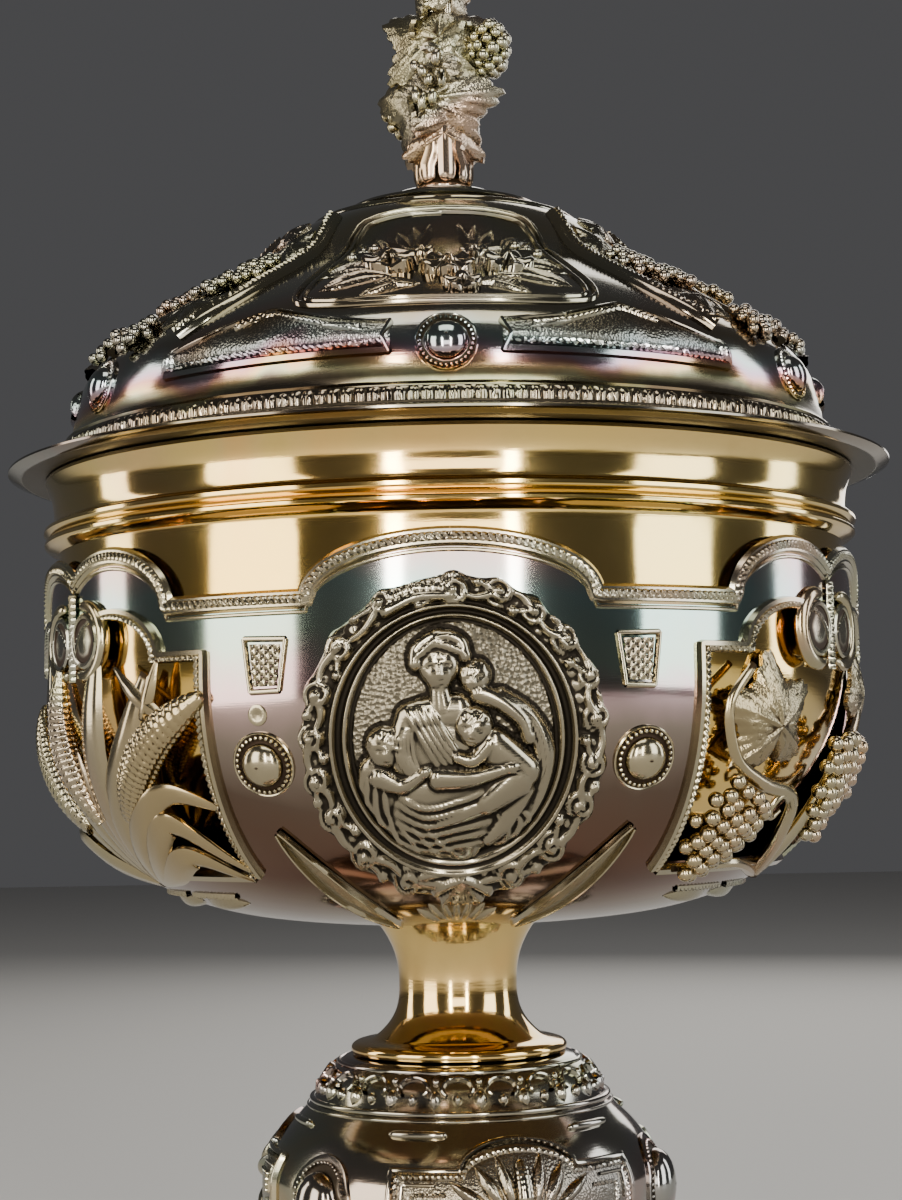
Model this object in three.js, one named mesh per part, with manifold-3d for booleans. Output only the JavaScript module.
import * as THREE from 'three';
import { mergeVertices } from 'three/addons/utils/BufferGeometryUtils.js';
import Module from 'manifold-3d';

// A covered standing cup: a gilt bowl in a pierced silver calyx, on a stem with a knop and a domed
// foot, under a lid with a cast finial. Millimetres, +Z up, origin in the middle of the underside.

// Driving dimensions
const fitGap = 0.3;
const bowlClearance = 0.5;

const footRadius = 70;
const footHeight = 46;
const footWall = 1.4;
const standingRingWidth = 5;
const standingRingHeight = 2.6;

const stemWaistRadius = 9.2;
const stemTopRadius = 12.4;
const stemRingRadius = 16.8;
const upperStemHeight = 19.8;
const lowerStemHeight = 21.4;

const knopRadius = 30.4;
const knopHeight = 39.4;
const knopNeckRadius = 18.4;
const knopTurn = 17;
const knopLeafCount = 20;
const knopRelief = 1.1;
const cabochonRelief = 2.4;

const bowlRadius = 61.1;
const bowlDepth = 67.2;
const bowlWall = 1.2;
const lipFlare = 2.1;
const lipHeight = 7;
const mouldingReach = 2.3;
const mouldingHeight = 3.6;

const calyxWall = 0.8;
const calyxCurveHeight = 35.9;
const edgeClearance = 2.8;
const largeArchRise = 7.6;
const largeArchHalfAngle = 17.8;
const smallArchRise = 8;
const smallArchHalfAngle = 12.1;
const smallArchAngle = 50.5;
const edgeBandWidth = 2.3;
const edgeBandRelief = 0.6;

const panelHalfAngle = 26.6;
const panelBottom = 9.2;
const panelHeadHeight = 8.5;
const frameRelief = 0.9;

const plaqueHalfWidth = 20.1;
const plaqueHalfHeight = 21.2;
const plaqueCentre = 27.2;
const plaqueGap = 0.95;
const hollowBack = 0.5;
const plaqueGround = 1;
const scrollFrameWidth = 3.9;
const scrollFrameRelief = 2.2;
const bezelWidth = 2.5;
const bezelRelief = 1.9;
const figureRelief = 2.6;

const bossRadius = 3.6;
const bossRelief = 2;
const bossAngle = 24.6;
const bossLevel = 24;
const roundelRadius = 3.9;
const roundelRelief = 1.6;
const roundelAngle = 6;
const tongueRelief = 1.4;

const brimReach = 7.6;
const brimThickness = 1.3;
const lidWall = 1;
const lidBandStep = 0.7;
const lidBandHeight = 4;
const lidDomeStep = 1.6;
const lidDomeHeight = 41;
const lidFlangeDepth = 3.5;
const lidFlangeWall = 1;
const ornamentRelief = 1.2;

const finialHeight = 53.5;
const finialFootRadius = 4.6;
const finialSpread = 12;
const crossHeight = 15;
const crossSpan = 10.5;
const crossThickness = 2.2;

// Levels, worked out from the foot upwards
const lowerStemBase = footHeight + fitGap;
const knopBase = lowerStemBase + lowerStemHeight + fitGap;
const upperStemBase = knopBase + knopHeight + fitGap;
const calyxBase = upperStemBase + upperStemHeight + fitGap;
const bowlBase = calyxBase + calyxWall + fitGap;
const lipLevel = bowlBase + bowlDepth;
const lidBase = lipLevel + fitGap;
const lidDomeBase = lidBase + brimThickness + lidBandHeight;
const finialBase = lidDomeBase + lidDomeHeight + fitGap;

const calyxRadius = bowlRadius + bowlClearance + calyxWall;
const mouldingBase = lipLevel - lipHeight - mouldingHeight;
const calyxEdgeHeight = mouldingBase - edgeClearance - smallArchRise - calyxBase;
const panelTop = calyxEdgeHeight - panelHeadHeight;
const lidBandRadius = bowlRadius - lidBandStep;
const lidDomeRadius = lidBandRadius - lidDomeStep;
const repeats = 3;
const repeatAngle = 360 / repeats;
const panelAngle = repeatAngle / 2;
const roundSegments = 32;
const innerSegments = 24;
const lidSegments = 36;
const bowlSegments = 27;
const stemSegments = 14;
const plaqueSegments = 16;
const bossSides = 5;

const wasm = await Module();
wasm.setup();

const radians = (degrees) => (degrees * Math.PI) / 180;
const degrees = (angle) => (angle * 180) / Math.PI;
const mix = THREE.MathUtils.lerp;
const smooth = THREE.MathUtils.smoothstep;

// Solids: a closed mesh with shared corners, joined and cut as one body

function toSolid(geometry) {
  geometry.deleteAttribute('normal');
  geometry.deleteAttribute('uv');
  const welded = mergeVertices(geometry, 1e-4);
  return new wasm.Manifold(new wasm.Mesh({
    numProp: 3,
    vertProperties: new Float32Array(welded.attributes.position.array),
    triVerts: new Uint32Array(welded.index.array),
  }));
}

function toGeometry(solid) {
  const mesh = solid.getMesh();
  const geometry = new THREE.BufferGeometry();
  geometry.setAttribute('position', new THREE.BufferAttribute(mesh.vertProperties, 3));
  geometry.setIndex(new THREE.BufferAttribute(mesh.triVerts, 1));
  const faceted = geometry.toNonIndexed();
  faceted.computeVertexNormals();
  return faceted;
}

function join(solids) {
  return solids.reduce((whole, solid) => whole.add(solid));
}

function mapPoints(geometry, place) {
  const position = geometry.attributes.position;
  for (let i = 0; i < position.count; i += 1) {
    const moved = place(position.getX(i), position.getY(i), position.getZ(i));
    position.setXYZ(i, moved.x, moved.y, moved.z);
  }
  return geometry;
}

// A turned piece: its closed profile of [radius, height] pairs runs up the outside
function turned(profile, segments = roundSegments) {
  const points = profile.map(([radius, height]) => new THREE.Vector2(radius, height));
  return new THREE.LatheGeometry(points, segments).rotateX(Math.PI / 2);
}

// The wall's inner side: each point of the outside moved inwards by the wall
function insideOf(outline, wall) {
  return outline.map(([radius, height], i) => {
    const before = outline[Math.max(i - 1, 0)];
    const after = outline[Math.min(i + 1, outline.length - 1)];
    const run = after[0] - before[0];
    const rise = after[1] - before[1];
    const length = Math.hypot(run, rise);
    return [Math.max(radius - (wall * rise) / length, 0), height + (wall * run) / length];
  });
}

// The outside of a turned wall as a ground to lay ornament on. Angles are in degrees from the front,
// growing towards +X. A drawing is laid on it from in front of one angle: across and up, in mm.
class Ground {
  constructor(outline) {
    this.outline = [...outline].sort((a, b) => a[1] - b[1]);
  }

  radius(height) {
    const points = this.outline;
    if (height <= points[0][1]) return points[0][0];
    for (let i = 1; i < points.length; i += 1) {
      const [r0, h0] = points[i - 1];
      const [r1, h1] = points[i];
      if (height <= h1) return mix(r0, r1, (height - h0) / Math.max(h1 - h0, 1e-6));
    }
    return points[points.length - 1][0];
  }

  normal(angle, height) {
    const reach = 1.2;
    const run = this.radius(height + reach) - this.radius(height - reach);
    const a = radians(angle);
    const flat = new THREE.Vector3(Math.sin(a), -Math.cos(a), 0).multiplyScalar(2 * reach);
    return flat.setZ(-run).normalize();
  }

  point(angle, height, lift = 0) {
    const a = radians(angle);
    const radius = this.radius(height);
    const foot = new THREE.Vector3(radius * Math.sin(a), -radius * Math.cos(a), height);
    return foot.addScaledVector(this.normal(angle, height), lift);
  }

  drawn(facing, across, height, lift = 0) {
    const turn = degrees(Math.asin(THREE.MathUtils.clamp(across / this.radius(height), -1, 1)));
    return this.point(facing + turn, height, lift);
  }
}

// A strip that follows a smooth route of [angle, height] points on a ground
function strand(ground, route, { width, depth, lift = 0, taper = () => 1, sides = 3, steps = 3 }) {
  const line = new THREE.SplineCurve(route.map(([a, h]) => new THREE.Vector2(a, h)));
  const at = (t, away) => {
    const p = line.getPoint(THREE.MathUtils.clamp(t, 0, 1));
    return ground.point(p.x, p.y, away);
  };
  return mapPoints(new THREE.CylinderGeometry(1, 1, 1, sides, steps), (x, y, z) => {
    const t = 0.5 + y;
    const away = typeof lift === 'function' ? lift(t) : lift;
    const ahead = at(t + 0.02, away).sub(at(t - 0.02, away)).normalize();
    const here = line.getPoint(t);
    const out = ground.normal(here.x, here.y);
    const side = new THREE.Vector3().crossVectors(ahead, out).normalize();
    const size = taper(t);
    return at(t, away)
      .addScaledVector(side, (x * size * width) / 2)
      .addScaledVector(out, (z * size * depth) / 2);
  });
}

const leafy = (t) => 0.2 + 0.8 * Math.sin(Math.PI * Math.min(t * 0.8 + 0.2, 1)) ** 0.8;
const earlike = (t) => 0.3 + 0.7 * Math.sin(Math.PI * THREE.MathUtils.clamp(t, 0.04, 0.96)) ** 0.7;
const stemlike = (t) => 1 - 0.55 * t;

// A round boss with a flat rim
function boss(ground, facing, height, radius, relief, sink) {
  const profile = [[0, -sink], [radius, -sink], [radius * 0.8, relief * 0.7], [0, relief]];
  const out = ground.normal(facing, height);
  const turn = new THREE.Quaternion().setFromUnitVectors(new THREE.Vector3(0, 0, 1), out);
  return turned(profile, bossSides).applyQuaternion(turn).translate(...ground.point(facing, height));
}

// A five-lobed vine leaf, cupped round its middle
function vineLeaf(ground, facing, height, size, tilt, lift, depth = 1.3) {
  const lobes = 5;
  return mapPoints(new THREE.CylinderGeometry(1, 1, 1, lobes * 2, 1).rotateX(Math.PI / 2), (x, y, z) => {
    const rim = Math.hypot(x, y);
    const angle = Math.atan2(y, x);
    const lobe = 0.76 + 0.24 * Math.cos(lobes * (angle - Math.PI / 2));
    const a = angle + radians(tilt);
    const across = size * rim * lobe * Math.cos(a);
    const up = size * rim * lobe * Math.sin(a);
    return ground.drawn(facing, across, height + up, lift + z * depth - rim * rim * 0.9);
  });
}

// A tapering bunch of grapes, lumpy all over, hanging from its upper end
function grapes(ground, from, to, size, lift) {
  const steps = 4;
  const sides = 6;
  return mapPoints(new THREE.CylinderGeometry(1, 1, 1, sides, steps), (x, y, z) => {
    const t = 0.5 - y;
    const row = Math.round(t * steps);
    const twist = (row % 2) * (Math.PI / sides);
    const around = Math.atan2(z, x) + twist;
    const girth = Math.hypot(x, z) * size * (0.35 + 0.65 * Math.sin(Math.PI * (0.12 + 0.8 * t)) ** 0.8);
    const centre = ground.point(mix(from[0], to[0], t), mix(from[1], to[1], t), lift);
    const ahead = ground.point(mix(to[0], from[0], 0.5), mix(to[1], from[1], 0.5), lift);
    const out = ground.normal(mix(from[0], to[0], t), mix(from[1], to[1], t));
    const along = ground.point(from[0], from[1], lift).sub(ahead).normalize();
    const side = new THREE.Vector3().crossVectors(along, out).normalize();
    return centre
      .addScaledVector(side, girth * Math.cos(around))
      .addScaledVector(out, girth * 0.7 * Math.sin(around));
  });
}

// Ornament raised on a turned wall: relief gives its height at an angle and a level
function raised(geometry, ground, relief, wall) {
  return mapPoints(geometry, (x, y, z) => {
    const radius = Math.hypot(x, y);
    const angle = degrees(Math.atan2(x, -y));
    const onOutside = radius > Math.max(ground.radius(z) - wall / 2, 1);
    const height = onOutside ? relief(angle, z) : 0;
    return height > 0 ? ground.point(angle, z, height) : new THREE.Vector3(x, y, z);
  });
}

// Degrees from the middle of the nearest repeat
function fromRepeat(angle, middle = 0) {
  return THREE.MathUtils.euclideanModulo(angle - middle + panelAngle, repeatAngle) - panelAngle;
}

// 1 in the middle of a round bump, falling to 0 at its edge
function bump(across, up, radius) {
  return 1 - smooth(Math.hypot(across, up) / radius, 0.2, 1);
}

// Foot: a domed, hollow foot on a flat standing ring

const footOutline = [
  [footRadius, 0],
  [footRadius, standingRingHeight],
  [footRadius * 0.93, footHeight * 0.12],
  [footRadius * 0.88, footHeight * 0.21],
  [footRadius * 0.74, footHeight * 0.33],
  [footRadius * 0.56, footHeight * 0.45],
  [footRadius * 0.43, footHeight * 0.57],
  [footRadius * 0.33, footHeight * 0.75],
  [stemRingRadius + 1.2, footHeight * 0.9],
  [stemRingRadius, footHeight],
];

// Three raised shields with leaves between them
function footRelief(angle, level) {
  const shieldHalfAngle = 26;
  const leafHalfAngle = 28;
  const leafSlope = 0.008;
  const share = level / footHeight;
  const shield = Math.abs(fromRepeat(angle)) < shieldHalfAngle && share > 0.3 && share < 0.6;
  const turn = Math.abs(fromRepeat(angle, panelAngle));
  const leaf = turn < leafHalfAngle && share > 0.18 && share < 0.5 - turn * leafSlope;
  return shield || leaf ? ornamentRelief : 0;
}

function makeFoot() {
  const ground = new Ground(footOutline);
  const body = turned([[0, 0], ...footOutline, [0, footHeight]]);
  const innerRing = footRadius - standingRingWidth;
  const hollow = insideOf(footOutline.slice(2, -1), footWall)
    .filter(([radius], i) => radius < innerRing - 0.5 && i % 2 === 0);
  const ceiling = footHeight - footWall * 1.5;
  const inside = turned([[0, -1], [innerRing, -1], [innerRing, standingRingHeight],
    ...hollow, [hollow[hollow.length - 1][0] * 0.85, ceiling], [0, ceiling]], innerSegments);
  return toSolid(raised(body, ground, footRelief, footWall)).subtract(toSolid(inside));
}

// Stems: gilt trumpets, waisted in the middle

function makeStem(base, height, lowRadius, highRadius) {
  const shares = [0, 0.12, 0.4, 0.75, 1];
  const profile = shares.map((share) => {
    const low = (lowRadius - stemWaistRadius) * Math.max(1 - share / 0.42, 0) ** 2.2;
    const high = (highRadius - stemWaistRadius) * Math.max((share - 0.55) / 0.45, 0) ** 2;
    return [stemWaistRadius + low + high, base + share * height];
  });
  return toSolid(turned([[0, base], ...profile, [0, base + height]], stemSegments));
}

// Knop: a full round knop between two leaf bands, turned a little against the bowl

const knopMiddle = knopBase + knopHeight / 2;
const leafBandShare = 0.79;

function knopOutline() {
  const half = knopHeight / 2;
  const upper = [
    [knopRadius, half * 0.14],
    [knopRadius * 0.95, half * 0.36],
    [knopRadius * 0.83, half * 0.56],
    [knopRadius * 0.71, half * leafBandShare],
    [knopNeckRadius, half],
  ];
  const lower = [...upper].reverse().map(([radius, height]) => [radius, -height]);
  return [...lower, ...upper].map(([radius, height]) => [radius, knopMiddle + height]);
}

// Arched panels and round cabochons by turns, between two scalloped leaf bands
function knopOrnament(angle, level) {
  const shoulderAngle = 36;
  const archHalfAngle = 18;
  const cabochonHalfAngle = 14;
  const up = (level - knopMiddle) / (knopHeight / 2);
  const onBand = Math.abs(Math.abs(up) - leafBandShare) < 0.02;
  if (onBand) return knopRelief * (0.5 + 0.5 * Math.cos(radians(angle) * knopLeafCount));
  const turn = Math.abs(fromRepeat(angle, knopTurn));
  const panelHalf = turn < archHalfAngle ? 0.57 : 0.4;
  const onPanel = turn < shoulderAngle && Math.abs(up) < panelHalf;
  const cabochon = bump((turn - panelAngle) / cabochonHalfAngle, up / 0.4, 1);
  return Math.max(onPanel ? knopRelief * 0.8 : 0, cabochonRelief * cabochon);
}

function makeKnop() {
  const outline = knopOutline();
  const ground = new Ground(outline);
  const body = turned([[0, knopBase], ...outline, [0, knopBase + knopHeight]], knopLeafCount * 2);
  return toSolid(raised(body, ground, knopOrnament, knopNeckRadius));
}

// Bowl: the gilt cup that holds the contents, with a moulding and a flared lip

const bowlCurve = calyxCurveHeight - calyxWall - fitGap;

function bowlOutline() {
  const curve = [0.38, 0.62, 0.8, 0.94].map((t) => {
    const swing = radians(90 * t);
    const radius = bowlRadius * Math.sin(swing) ** 0.8;
    return [radius, bowlBase + bowlCurve * 1.16 * (1 - Math.cos(swing) ** 0.92) + 0.2];
  });
  const mouldingTop = lipLevel - lipHeight;
  const beadStep = mouldingHeight / 4;
  return [
    ...curve,
    [bowlRadius, mouldingTop - mouldingHeight],
    [bowlRadius + mouldingReach, mouldingTop - 3 * beadStep],
    [bowlRadius + mouldingReach, mouldingTop - beadStep],
    [bowlRadius + 1, mouldingTop],
    [bowlRadius + lipFlare, lipLevel],
  ];
}

function makeBowl() {
  const outline = bowlOutline();
  const wallInside = insideOf(outline.slice(0, 5), bowlWall).filter((_, i) => i !== 3);
  const topRadius = bowlRadius + lipFlare - bowlWall;
  const inside = [
    [topRadius, lipLevel],
    [bowlRadius - bowlWall + 1, lipLevel - lipHeight * 0.6],
    [bowlRadius - bowlWall, lipLevel - lipHeight - mouldingHeight],
    ...wallInside.reverse(),
    [0, bowlBase + bowlWall],
  ];
  return toSolid(turned([[0, bowlBase], ...outline, ...inside], bowlSegments));
}

// Calyx: the pierced silver cup round the bowl, with a shaped and roped upper edge

function calyxRadiusAt(t) {
  return calyxRadius * (1 - Math.min(t, 1) ** 2) ** (1 / 3.7);
}

function calyxOutline() {
  const levels = [0.96, 0.84, 0.66, 0.42, 0.12];
  const curve = levels.map((t) => [calyxRadiusAt(t), calyxBase + calyxCurveHeight * (1 - t)]);
  const frameTop = calyxBase + panelTop;
  const bandBase = calyxBase + calyxEdgeHeight - edgeBandWidth;
  return [...curve, [calyxRadius, frameTop],
    [calyxRadius, frameTop + 2.4], [calyxRadius, bandBase]];
}

// The upper edge above the calyx's base, at an angle from the middle of a plaque
function edgeHeight(angle) {
  const turn = Math.abs(fromRepeat(angle));
  const arch = (rise, away, half) => rise * Math.sqrt(Math.max(1 - (away / half) ** 2, 0));
  const large = arch(largeArchRise, turn, largeArchHalfAngle);
  const small = arch(smallArchRise, turn - smallArchAngle, smallArchHalfAngle);
  return calyxEdgeHeight + Math.max(large, small);
}

const openingEdge = panelAngle - panelHalfAngle;
const edgeColumns = [
  0,
  largeArchHalfAngle * 0.56,
  largeArchHalfAngle,
  25,
  openingEdge - 2,
  openingEdge,
  smallArchAngle - smallArchHalfAngle * 0.78,
  smallArchAngle,
  panelAngle,
];

// Turns an evenly divided circle into columns that meet the corners of the shaped edge
function edgeColumn(angle) {
  const even = repeatAngle / 2 / (edgeColumns.length - 1);
  const turn = fromRepeat(angle);
  const place = Math.abs(turn) / even;
  const index = Math.min(Math.floor(place + 1e-6), edgeColumns.length - 2);
  const column = mix(edgeColumns[index], edgeColumns[index + 1], place - index);
  return angle - turn + Math.sign(turn) * column;
}

// Spear-shaped tongues beside a plaque, leaning outwards from its foot to below its bosses
function tongueHeight(turn, level) {
  const start = { turn: 16.5, level: 3 };
  const end = { turn: 25, level: 14 };
  const along = (level - start.level) / (end.level - start.level);
  const away = Math.abs(turn - mix(start.turn, end.turn, along));
  return along > 0 && along < 1 && away < 2.5 ? tongueRelief : 0;
}

// The calyx's upper part follows its edge: heights above the bowl's curve stretch up to it
function makeCalyxShell(outline, ground) {
  const bandBase = calyxBase + calyxEdgeHeight - edgeBandWidth;
  const bandTop = calyxBase + calyxEdgeHeight;
  const bandRadius = calyxRadius + edgeBandRelief;
  const inner = insideOf(outline, calyxWall).filter((_, i) => [0, 1, 3, 4].includes(i)).reverse();
  const profile = [
    [0, calyxBase],
    ...outline,
    [bandRadius, bandBase],
    [bandRadius, bandTop],
    [calyxRadius - calyxWall, bandTop],
    ...inner,
    [0, calyxBase + calyxWall],
  ];
  const shell = turned(profile, (edgeColumns.length - 1) * 2 * repeats);
  const frameTop = calyxBase + panelTop;
  return mapPoints(shell, (x, y, z) => {
    const angle = edgeColumn(degrees(Math.atan2(x, -y)));
    const turn = Math.abs(fromRepeat(angle));
    const a = radians(angle);
    const rise = z > bandBase - 0.01 ? edgeHeight(angle) - calyxEdgeHeight : 0;
    const isOutside = Math.hypot(x, y) > ground.radius(z) - calyxWall / 2;
    const besidePanel = Math.abs(turn - openingEdge) < 0.1 && z < frameTop;
    const abovePanel = turn > openingEdge - 0.1 && Math.abs(z - frameTop) < 0.1;
    const border = besidePanel || abovePanel ? frameRelief : 0;
    const lift = isOutside ? Math.max(border, tongueHeight(turn, z - calyxBase)) : 0;
    const radius = Math.hypot(x, y) + lift;
    return new THREE.Vector3(radius * Math.sin(a), -radius * Math.cos(a), z + rise);
  });
}

// The pierced field of a panel: a shield with two small arches at its top
function panelShape() {
  const half = panelHalfAngle;
  const archFoot = 19;
  const archTop = panelTop + 7;
  const outline = [[half, panelBottom], [half, panelTop],
    [archFoot, panelTop], [12.5, archTop], [9.2, panelTop - 1]];
  const mirrored = [...outline].reverse().map(([across, up]) => [-across, up]);
  return new THREE.Shape([...outline, ...mirrored].map(([across, up]) => new THREE.Vector2(across, up)));
}

function panelCutter(middle) {
  const reachIn = calyxRadius * 0.38;
  const reachOut = calyxRadius * 1.35;
  const cutter = new THREE.ExtrudeGeometry(panelShape(), { depth: 1, bevelEnabled: false });
  return mapPoints(cutter, (x, y, z) => {
    const a = radians(middle + x);
    const radius = mix(reachIn, reachOut, z);
    return new THREE.Vector3(radius * Math.sin(a), -radius * Math.cos(a), calyxBase + y);
  });
}

// Two plain roundels in the head of a panel
function panelHead(ground, middle) {
  const sink = calyxWall / 2;
  const height = calyxBase + panelTop + 2.6;
  return [-1, 1].map((side) => boss(ground, middle + side * roundelAngle, height,
    roundelRadius, roundelRelief, sink));
}

const panelFoot = calyxBase + panelBottom - 1;

function vinePanel(ground, middle, hand) {
  const at = (angle, height) => [middle + hand * angle, calyxBase + height];
  const stem = { width: 2.6, depth: 2.2, taper: stemlike, lift: 0.6 };
  const root = [middle, panelFoot];
  return [
    strand(ground, [root, at(-5, 14), at(-12, 20), at(-15, 26)], stem),
    strand(ground, [root, at(4, 15), at(9, 23), at(17, 30)], stem),
    strand(ground, [at(-11, 19), at(-20, 21), at(-22, 30), at(-21, 39)], stem),
    strand(ground, [at(7, 19), at(15, 18), at(21, 20), at(27, 18)], stem),
    vineLeaf(ground, middle - hand * 14, calyxBase + 29, 10.6, -14 * hand, 1.2),
    vineLeaf(ground, middle + hand * 15.5, calyxBase + 31.5, 9.4, 20 * hand, 1.2),
    grapes(ground, at(-14, 20), at(-25, 8.5), 4.8, 0.9),
    grapes(ground, at(4, 28), at(8, 13), 4.8, 1.1),
  ];
}

function wheatPanel(ground, middle, hand) {
  const at = (angle, height) => [middle + hand * angle, calyxBase + height];
  const root = [middle, panelFoot];
  const ear = { width: 6, depth: 3.6, taper: earlike, sides: 4, steps: 4, lift: 1 };
  const blade = { width: 5.4, depth: 2, taper: leafy, lift: 0.6 };
  return [
    strand(ground, [root, at(10, 20), at(19, 29), at(25.5, 34)], ear),
    strand(ground, [root, at(-2, 20), at(-3, 30), at(-1, 38)], { ...ear, width: 5 }),
    strand(ground, [root, at(-10, 19), at(-19, 29), at(-25, 35)], ear),
    strand(ground, [root, at(4, 17), at(7, 28), at(10, 41)], { ...blade, width: 7 }),
    strand(ground, [root, at(-6, 17), at(-9, 28), at(-10, 41)], { ...blade, width: 6 }),
    strand(ground, [root, at(10, 14), at(19, 20), at(27.5, 19)], blade),
    strand(ground, [root, at(-10, 13), at(-19, 18), at(-27.5, 17)], blade),
  ];
}

// A boss on each side of a plaque
function besidePlaque(ground, facing) {
  const sink = calyxWall / 2;
  const height = calyxBase + bossLevel;
  return [-1, 1].map((side) => boss(ground, facing + side * bossAngle, height, bossRadius, bossRelief, sink));
}

function makeCalyx() {
  const outline = calyxOutline();
  const ground = new Ground([...outline, [calyxRadius, calyxBase + calyxEdgeHeight + 10]]);
  let calyx = toSolid(makeCalyxShell(outline, ground));
  const extras = [];
  for (let i = 0; i < repeats; i += 1) {
    const facing = i * repeatAngle;
    const middle = facing + panelAngle;
    calyx = calyx.subtract(toSolid(panelCutter(middle)));
    extras.push(...panelHead(ground, middle));
    extras.push(...besidePlaque(ground, facing));
    const hand = i === 1 ? -1 : 1;
    extras.push(...(i === 2 ? wheatPanel(ground, middle, hand) : vinePanel(ground, middle, hand)));
  }
  return { solid: join([calyx, ...extras.map(toSolid)]), ground };
}

// Plaques: an oval relief of a seated mother and three children, with its bezel and scrolled frame

// The group, as soft swellings: across and up as shares of the field, radius, height share
const figureGroup = [
  [-0.1, 0.6, 0.2, 1.0],
  [0.17, 0.52, 0.13, 0.75],
  [0.14, 0.08, 0.15, 0.95],
  [-0.5, -0.1, 0.16, 0.8],
  [-0.12, 0.2, 0.3, 0.8],
  [0.1, -0.25, 0.42, 0.9],
  [-0.35, -0.45, 0.34, 0.75],
  [0.5, 0.05, 0.24, 0.6],
  [0.1, -0.72, 0.4, 0.6],
];

function figureHeight(across, up) {
  let height = 0;
  for (const [x, y, radius, share] of figureGroup) {
    const away = Math.hypot(across - x, up - y) / radius;
    height = Math.max(height, share * (1 - smooth(away, 0.35, 1.25)));
  }
  return height * figureRelief;
}

function makePlaque(ground, facing) {
  const scroll = 1 - scrollFrameWidth / plaqueHalfWidth;
  const field = scroll - bezelWidth / plaqueHalfWidth;
  const rings = [[0, hollowBack], [0.55, hollowBack], [1, hollowBack / 2], [1, plaqueGround],
    [(1 + scroll) / 2, scrollFrameRelief], [scroll, plaqueGround * 0.8],
    [(scroll + field) / 2, bezelRelief], [field, plaqueGround],
    [field * 0.72, plaqueGround], [field * 0.4, plaqueGround],
    [0, plaqueGround]];
  const disc = turned(rings, plaqueSegments);
  return toSolid(mapPoints(disc, (x, y, z) => {
    const share = Math.hypot(x, y);
    const onTop = z > plaqueGround / 2;
    const lobed = share > scroll + 0.01 && share < 0.99;
    const scallop = lobed ? 1 + 0.2 * Math.cos((Math.atan2(y, x) * plaqueSegments) / 2) : 1;
    const figure = onTop && share < field - 0.02 ? figureHeight(x / field, y / field) : 0;
    const level = calyxBase + plaqueCentre + y * plaqueHalfHeight;
    return ground.drawn(facing, x * plaqueHalfWidth, level, z * scallop + plaqueGap + figure);
  }));
}

// Lid: a flat brim, a patterned band and a stepped dome with raised ornament

const domeOutline = [
  [1, 0],
  [0.99, 0.14],
  [0.93, 0.28],
  [0.785, 0.43],
  [0.57, 0.585],
  [0.49, 0.705],
  [0.3, 0.88],
  [0.1, 1],
].map(([radius, height]) => [radius * lidDomeRadius, lidDomeBase + height * lidDomeHeight]);

// Shields with blossoms, long side panels, bosses and vine sprays, all on the dome
function lidOrnament(angle, level) {
  const share = (level - lidDomeBase) / lidDomeHeight;
  if (share < 0.05 || share > 0.85) return 0;
  const turn = fromRepeat(angle);
  const onShield = Math.abs(turn) < mix(22, 27, share) && share > 0.3 && share < 0.78;
  const flower = (across, up) => bump((turn - across) / 6, (share - up) / 0.08, 1);
  const blossom = Math.max(flower(0, 0.5), flower(-13.3, 0.585), flower(13.3, 0.585));
  const side = Math.abs(turn);
  const onPanel = side > 6 && side < 41 && share < 0.3 - Math.abs(side - 24) * 0.008;
  const spray = side > 38 && share > 0.2 && share < 0.75;
  const lump = 0.5 + 0.5 * Math.cos(radians(side - panelAngle) * 27) * Math.cos(share * 31);
  const onBoss = Math.min(side, panelAngle - side) < 3 && Math.abs(share - 0.14) < 0.02;
  let height = onShield ? ornamentRelief : 0;
  height += blossom * bossRelief * 0.8;
  if (onPanel) height = ornamentRelief * 0.7;
  if (spray) height = ornamentRelief * (0.5 + lump);
  return onBoss ? bossRelief : height;
}

function makeLid() {
  const brimRadius = bowlRadius + brimReach;
  const flangeRadius = bowlRadius + lipFlare - bowlWall - 3 * fitGap;
  const ground = new Ground(domeOutline);
  const top = lidDomeBase + lidDomeHeight;
  const bandTop = lidDomeBase - 0.8;
  const outside = [
    [0, lidBase - lidFlangeDepth],
    [flangeRadius - 0.8, lidBase - lidFlangeDepth],
    [flangeRadius, lidBase],
    [brimRadius, lidBase],
    [brimRadius, lidBase + brimThickness],
    [lidBandRadius + 0.5, lidBase + brimThickness + 0.6],
    [lidBandRadius, bandTop],
    ...domeOutline,
    [0, top],
  ];
  const ceiling = insideOf(domeOutline.slice(0, -1), lidWall);
  const flangeInside = flangeRadius - lidFlangeWall;
  const inside = turned([
    [0, lidBase - lidFlangeDepth - 1],
    [flangeInside - 0.8, lidBase - lidFlangeDepth - 1],
    [flangeInside - 0.3, lidBase],
    ...ceiling.filter((_, i) => i !== 1).map(([r, h]) => [r - 0.4, h - 0.2]),
    [0, top - 3 * lidWall],
  ], innerSegments);
  const body = raised(turned(outside, lidSegments), ground, lidOrnament, lidWall);
  return toSolid(body).subtract(toSolid(inside));
}

// Finial: a cast bouquet of vine leaves, wheat and grapes with a small plain cross

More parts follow.
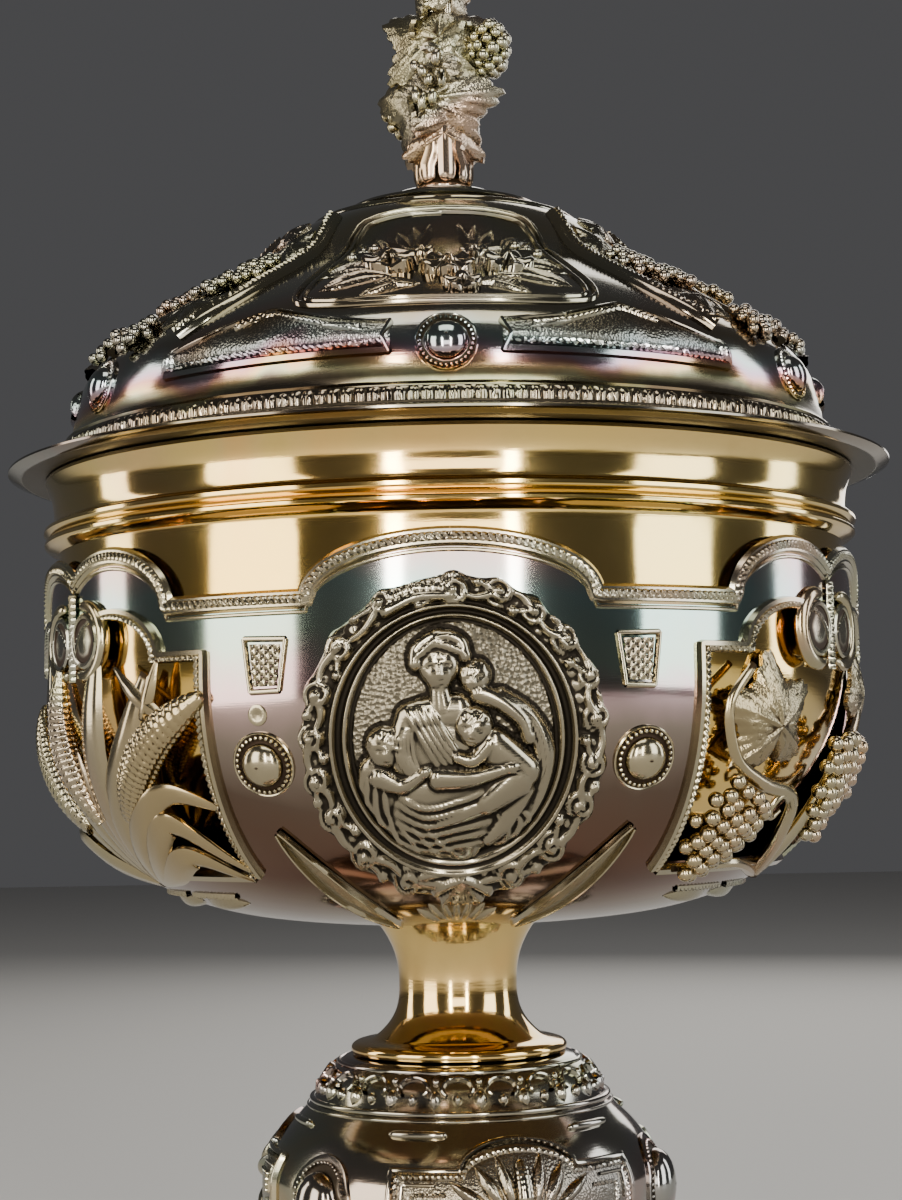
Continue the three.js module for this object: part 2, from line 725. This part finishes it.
function makeFinial() {
  const top = finialBase + finialHeight;
  const crossBase = top - crossHeight;
  const bodyHeight = finialHeight - crossHeight;
  const core = toSolid(turned([
    [0, finialBase],
    [finialFootRadius, finialBase],
    [finialFootRadius * 0.85, finialBase + 1.6],
    [finialFootRadius * 0.6, finialBase + bodyHeight * 0.12],
    [finialFootRadius * 1.25, finialBase + bodyHeight * 0.4],
    [finialFootRadius * 1.35, finialBase + bodyHeight * 0.7],
    [finialFootRadius * 0.5, crossBase + 1],
    [0, crossBase + 1],
  ], 9));
  const pieces = [core];
  const trunk = new Ground([[finialFootRadius * 0.8, finialBase], [finialFootRadius * 0.8, top]]);
  const leafCount = 5;
  for (let i = 0; i < leafCount; i += 1) {
    const facing = (i * 360) / leafCount + 24;
    const low = finialBase + bodyHeight * (i % 2 ? 0.14 : 0.34);
    const length = bodyHeight * (i % 2 ? 0.4 : 0.48);
    const route = [[facing, low], [facing + 6, low + length * 0.55], [facing + 10, low + length]];
    const away = (finialSpread - finialFootRadius) * (i % 2 ? 0.9 : 1);
    const reach = (t) => mix(-1.4, away, t ** 1.2);
    pieces.push(toSolid(strand(trunk, route,
      { width: 12, depth: 2.2, taper: leafy, steps: 3, lift: reach })));
  }
  const earCount = 2;
  for (let i = 0; i < earCount; i += 1) {
    const facing = (i * 360) / earCount - 12;
    const low = finialBase + bodyHeight * 0.5;
    const route = [[facing, low], [facing, low + bodyHeight * 0.42]];
    const ear = { width: 5.5, depth: 4.5, taper: earlike, sides: 4, steps: 3, lift: (t) => 1.2 + 2.2 * t };
    pieces.push(toSolid(strand(trunk, route, ear)));
    const bunch = grapes(trunk, [facing + 90, low + bodyHeight * 0.4], [facing + 96, low], 4.2, 2.6);
    pieces.push(toSolid(bunch));
  }
  const post = new THREE.BoxGeometry(crossThickness, crossThickness, crossHeight);
  const arm = new THREE.BoxGeometry(crossSpan, crossThickness * 0.96, crossThickness);
  pieces.push(toSolid(post.translate(0, 0, top - crossHeight / 2)));
  pieces.push(toSolid(arm.translate(0, 0, top - crossHeight * 0.36)));
  return join(pieces);
}

// Materials and the scene graph

const silver = { color: 0xa39a86, roughness: 0.28, metalness: 1 };
const darkSilver = { color: 0x6b655b, roughness: 0.4, metalness: 1 };
const gilt = { color: 0xc9a24a, roughness: 0.22, metalness: 1 };

const ciborium = new THREE.Group();

function addPiece(name, solid, finish) {
  const mesh = new THREE.Mesh(toGeometry(solid), new THREE.MeshStandardMaterial(finish));
  mesh.name = name;
  ciborium.add(mesh);
}

const calyx = makeCalyx();
addPiece('foot', makeFoot(), silver);
addPiece('lower_stem', makeStem(lowerStemBase, lowerStemHeight, stemRingRadius, stemRingRadius), gilt);
addPiece('knop', makeKnop(), silver);
addPiece('upper_stem', makeStem(upperStemBase, upperStemHeight, stemRingRadius, stemTopRadius), gilt);
addPiece('openwork_cup', calyx.solid, silver);
addPiece('inner_cup', makeBowl(), gilt);
['plaque_front', 'plaque_right', 'plaque_left'].forEach((name, i) => {
  addPiece(name, makePlaque(calyx.ground, i * repeatAngle), darkSilver);
});
addPiece('lid', makeLid(), silver);
addPiece('finial', makeFinial(), silver);

export default ciborium;
